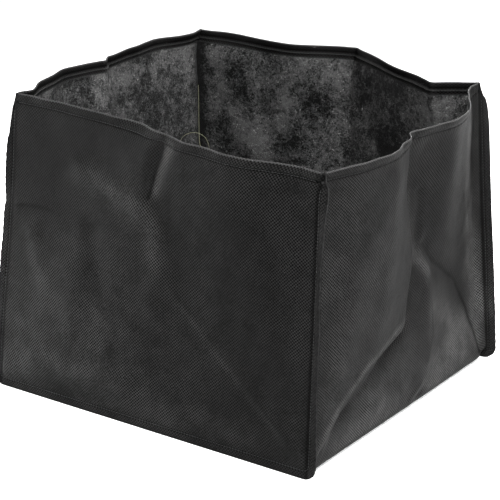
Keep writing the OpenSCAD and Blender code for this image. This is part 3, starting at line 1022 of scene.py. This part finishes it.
def rim_rub(z):
    """The very top of the rim is rubbed."""
    return RIM_RUB * smoothstep((z - (HEIGHT - 1.9)) / 0.9)


def light_and_wear_hem(share, extra):
    """Adds the rows of the turned edge to a grid of shares of painted light and wear."""
    over = np.full((FOLD_STEPS, share.shape[1]), RIM_RUB)
    return np.concatenate([share, over, np.full((extra - FOLD_STEPS, share.shape[1]), HEM_RUB)])


def painted_shade_hem(share, extra):
    """Adds them to a grid of painted shade. They take the painted shade of the rows they lie behind."""
    return np.concatenate([share, share[-extra - 1:-1][::-1]])


def at_both_ends(add_hem, share, extra):
    return add_hem(add_hem(share, extra)[::-1], extra)[::-1]


def make_panel(name, seed):
    points, s, z = panel_grid(name)
    normals = grid_normals(points)
    depth = ditch(seam_distance(s, z)) + hem_ditch(z)
    points = points - normals * depth[..., None]
    face, back, run = hemmed(points, normals, s, PANEL_ROWS, FIN - 0.6)
    extra = len(face) - len(s)
    cut = np.minimum(np.minimum(s - s[:, :1], s[:, -1:] - s), z)
    # Painted shade in the ditches, at the seam knees, on the raw edges and along the sharp creases
    painted_shade = painted_shade_share(depth, np.minimum(np.abs(s), np.abs(s - WIDTH)), 0.8, cut,
                            raster_value(CREASE_SHADE_FIELD[name], s, z))
    # Painted light and shade on the wall, with wear at the rim
    light_and_wear = np.maximum(raster_value(LIGHT_AND_SHADE_FIELD[name], s, z), rim_rub(z))
    uv = np.stack([np.concatenate([s, np.repeat(s[-1:], extra, 0)]),
                   np.repeat(run[:, None], s.shape[1], 1)], -1)
    piece = shell(name + "_panel", face, back, uv, CLOTH,
                  {"painted_shade": painted_shade_hem(painted_shade, extra), "light_and_wear": light_and_wear_hem(light_and_wear, extra)})
    declare(piece, [name + "_outer", name + "_hem"])
    inner = points - normals * (WALL + fuzz(s.shape, seed)[..., None])
    lining = shell(name + "_panel_lining", points - normals * OUTER, inner, uv[:len(s)], FELT,
                   {"painted_shade": felt_corner_shade(np.minimum(s, WIDTH - s)),
                    "blotch_light_shade": raster_value(BLOTCH_LIGHT_SHADE_FIELD[name], s, z)})
    declare(lining, [name + "_lining"])


def turned_about(name, face, back, uv, material, shares):
    """A shell whose columns are turned about, so that the right side of the strip faces out."""
    return shell(name, face[:, ::-1], back[:, ::-1], uv[:, ::-1], material,
                 {key: share[:, ::-1] for key, share in shares.items()})


def make_strip():
    grid, across, run, rows = strip_grid()
    normals = -grid_normals(grid)
    walls = np.array([r[0] for r in rows])[:, None]
    sides = (walls == "right") | (walls == "left")
    heights = np.array([r[1] if side else 0 for r, side in zip(rows, sides[:, 0])])[:, None]
    up = np.broadcast_to(heights, across.shape)
    from_seam = np.minimum(across, DEPTH - across)
    depth = ditch(np.abs(from_seam + MARGIN - SEAM_STITCH)) * (from_seam < FIN)
    depth = depth + hem_ditch(heights) * sides
    grid = grid - normals * depth[..., None]

    def over_walls(fields, floor):
        """Values of the side walls' fields over the strip, and one value on the floor."""
        return np.where(walls == "right", raster_value(fields["right"], across, up),
                        np.where(walls == "left", raster_value(fields["left"], DEPTH - across, up),
                                 floor))

    def half(order):
        return hemmed(grid[order], normals[order], across[order], run[order], FIN + 0.6)

    first_floor = len(rows) // 2
    left_face, left_back, left_run = half(np.arange(first_floor, len(rows)))
    right_face, right_back, _ = half(np.arange(first_floor, -1, -1))
    extra = len(right_face) - first_floor - 1
    face = np.concatenate([right_face[::-1], left_face[1:]])
    back = np.concatenate([right_back[::-1], left_back[1:]])
    v = np.concatenate([run[0] - np.arange(extra, 0, -1), run[:first_floor], left_run])
    cols = np.concatenate([np.repeat(across[:1], extra, 0), across, np.repeat(across[-1:], extra, 0)])
    uv = np.stack([cols, np.repeat(v[:, None], cols.shape[1], 1)], -1)
    cut = np.minimum(across - across[:, :1], across[:, -1:] - across)
    # Painted shade in the ditches, at the seam knees, on the raw edges and along the sharp creases
    painted_shade = painted_shade_share(depth, np.abs(from_seam - FIN / 2), 0.9, cut, over_walls(CREASE_SHADE_FIELD, 0))
    # Painted light and shade on the side walls, with wear at the rim
    light_and_wear = np.maximum(over_walls(LIGHT_AND_SHADE_FIELD, PLAIN_LIGHT_AND_WEAR), rim_rub(up))
    piece = turned_about("wrap", face, back, uv, CLOTH,
                         {"painted_shade": at_both_ends(painted_shade_hem, painted_shade, extra),
                          "light_and_wear": at_both_ends(light_and_wear_hem, light_and_wear, extra)})
    declare(piece, ["left_outer", "left_hem", "base_outer", "right_outer", "right_hem"])
    inner = grid - normals * (WALL + fuzz(across.shape, 91)[..., None])
    uv = np.stack([across, np.repeat(run[:, None], across.shape[1], 1)], -1)
    lining = turned_about("wrap_lining", grid - normals * OUTER, inner, uv, FELT,
                          {"painted_shade": felt_corner_shade(from_seam), "blotch_light_shade": over_walls(BLOTCH_LIGHT_SHADE_FIELD, 0)})
    declare(lining, ["left_lining", "base_lining", "right_lining"])


make_panel("front", 81)
make_panel("back", 86)
make_strip()

# ---- stitching ----
STITCH_PITCH = 3.4
STITCH_LENGTH = 2.7
STITCH_SIDES = 8
# Rings of a stitch: place from end to end, width
STITCH_RINGS = [(-1.0, 0.15), (-0.92, 0.6), (-0.75, 0.95), (0.0, 1.1), (0.75, 0.95), (0.92, 0.6),
                (1.0, 0.15)]


def stitch_line(path, normals):
    """Grids of points of a row of stitches on a path, each a small rounded capsule."""
    run = np.concatenate([[0], np.cumsum(np.linalg.norm(np.diff(path, axis=0), axis=1))])
    angles = 2 * np.pi * np.arange(STITCH_SIDES) / STITCH_SIDES

    def along(line, at):
        return np.array([np.interp(at, run, line[:, k]) for k in range(3)])

    stitches = []
    for i in range(int(run[-1] // STITCH_PITCH)):
        rings = []
        for place, width in STITCH_RINGS:
            at = (i + 0.5) * STITCH_PITCH + place * STITCH_LENGTH / 2
            normal = unit(along(normals, at))
            side = unit(np.cross(unit(along(path, at + 0.4) - along(path, at - 0.4)), normal))
            sunk = 0.22 * abs(place) ** 3
            centre = along(path, at) + normal * (THREAD / 2 - 0.1 - sunk)
            round_it = np.outer(np.cos(angles), side) + np.outer(np.sin(angles), normal)
            rings.append(centre + THREAD / 2 * width * round_it)
        stitches.append(rings)
    return np.array(stitches)


def make_stitches(name, lines):
    """Rows of stitches in place of the CAD's thread of that name."""
    vertices, faces, start = [], [], 0
    for path, normals in lines:
        for stitch in stitch_line(path, normals):
            m, k = stitch.shape[:2]
            at = start + np.arange(m * k).reshape(m, k)
            beside = np.roll(at, -1, axis=1)
            faces.append(np.stack([at[:-1], beside[:-1], beside[1:], at[1:]], -1).reshape(-1, 4))
            for ring in (at[0][::-1], at[-1]):
                for c in range(k // 2 - 1):
                    faces.append(np.array([[ring[c], ring[c + 1], ring[k - 2 - c], ring[k - 1 - c]]]))
            vertices.append(stitch.reshape(-1, 3))
            start += m * k
    piece = link_mesh(name.replace("thread", "stitches"), np.concatenate(vertices),
                      np.concatenate(faces), THREAD_LOOK)
    declare(piece, [name])


def surface_lines(panel, s, z, depth):
    """A path on a panel at a depth inward of its outer face, with its outward normals."""
    at = panel_point(panel, s, z)
    dx = panel_point(panel, s + 0.5, z) - panel_point(panel, s - 0.5, z)
    dz = panel_point(panel, s, z + 0.5) - panel_point(panel, s, z - 0.5)
    normal = unit(np.cross(dx, dz))
    return at - normal * depth, normal


def seam_route():
    """Along a panel's seam stitches: down one side, round the corner, along the ground and up."""
    aside = MARGIN - SEAM_STITCH
    radius = SEAM_BEND + aside
    z = spaced(HEIGHT - HEM - 3, (CORNER_ROWS, 1.0))
    arc = np.linspace(0, math.pi / 2, 8)[1:-1]
    floor = spaced(WIDTH - SEAM_BEND, (SEAM_BEND, 1.0))
    s = np.concatenate([np.full(len(z), WIDTH + aside), WIDTH - SEAM_BEND + radius * np.cos(arc), floor,
                        SEAM_BEND - radius * np.cos(arc[::-1]), np.full(len(z), -aside)])
    h = np.concatenate([z, CORNER_ROWS - radius * np.sin(arc),
                        np.full(len(floor), CORNER_ROWS - radius),
                        CORNER_ROWS - radius * np.sin(arc[::-1]), z[::-1]])
    return s, h


def make_threads(name, surfaces, s, z, behind):
    """The needle thread on the outer face of the surfaces, the bobbin thread at a depth behind."""
    for thread, depth, sign in (("needle", STITCH_DITCH, 1), ("bobbin", behind, -1)):
        lines = [surface_lines(surface, s, z, depth) for surface in surfaces]
        make_stitches(f"{name}_{thread}_thread", [(path, sign * normals) for path, normals in lines])


make_threads("front_seam", ["front"], *seam_route(), FIN - STITCH_DITCH)
make_threads("back_seam", ["back"], *seam_route(), FIN - STITCH_DITCH)
HEM_COLS = spaced(3.0, (WIDTH - 3.0, 1.0))
make_threads("hem", WALLS, HEM_COLS, np.full(len(HEM_COLS), STITCHED), WALL + OUTER + STITCH_DITCH)


# ---- floor and lights ----
FLOOR_HALF = 6.0                 # metres, as the heights and lights below
FLOOR_LOW = -0.0006


def make_floor():
    data = bpy.data.meshes.new("floor")
    corners = [(-1, -1), (1, -1), (1, 1), (-1, 1)]
    data.from_pydata([(x * FLOOR_HALF, y * FLOOR_HALF, FLOOR_LOW) for x, y in corners], [],
                     [(0, 1, 2, 3)])
    n = Nodes("floor")
    pale = n.blend(n.noise(2.0), grey(0.93), grey(0.95))
    data.materials.append(n.look(Base_Color=pale, Roughness=0.9, Emission_Color=(1, 1, 1, 1),
                                 Emission_Strength=0.42))
    placed("floor", data)


# Degrees round from the front toward the right, degrees above the ground, metres away, metres
# across, watts
LIGHTS = {
    "front_left": (303, 1, 1.6, 0.32, 35),
    "front_right": (36, 50, 2.4, 1.0, 74),
    "right_side": (88, 14, 2.4, 0.8, 56),
    "right_high": (84, 66, 2.4, 1.0, 84),
    "back": (200, 24, 1.3, 0.6, 24),
    "left": (256, 22, 1.3, 0.5, 15),
}


def make_lights():
    world = bpy.data.worlds.new("studio")
    world.use_nodes = True
    background = world.node_tree.nodes["Background"]
    background.inputs[0].default_value = (1, 1, 1, 1)
    background.inputs[1].default_value = 0.02
    bpy.context.scene.world = world
    for name, (azimuth, elevation, distance, size, power) in LIGHTS.items():
        data = bpy.data.lights.new(name, "AREA")
        data.shape = "DISK"
        data.size = size
        data.energy = power
        light = placed(name, data)
        back = direction(azimuth, elevation)
        light.location = Vector((0, 0, HEIGHT / 2 * MM)) + back * distance
        light.rotation_mode = "QUATERNION"
        light.rotation_quaternion = back.to_track_quat("Z", "Y")


make_floor()
make_lights()
bpy.context.scene.view_settings.view_transform = "Standard"
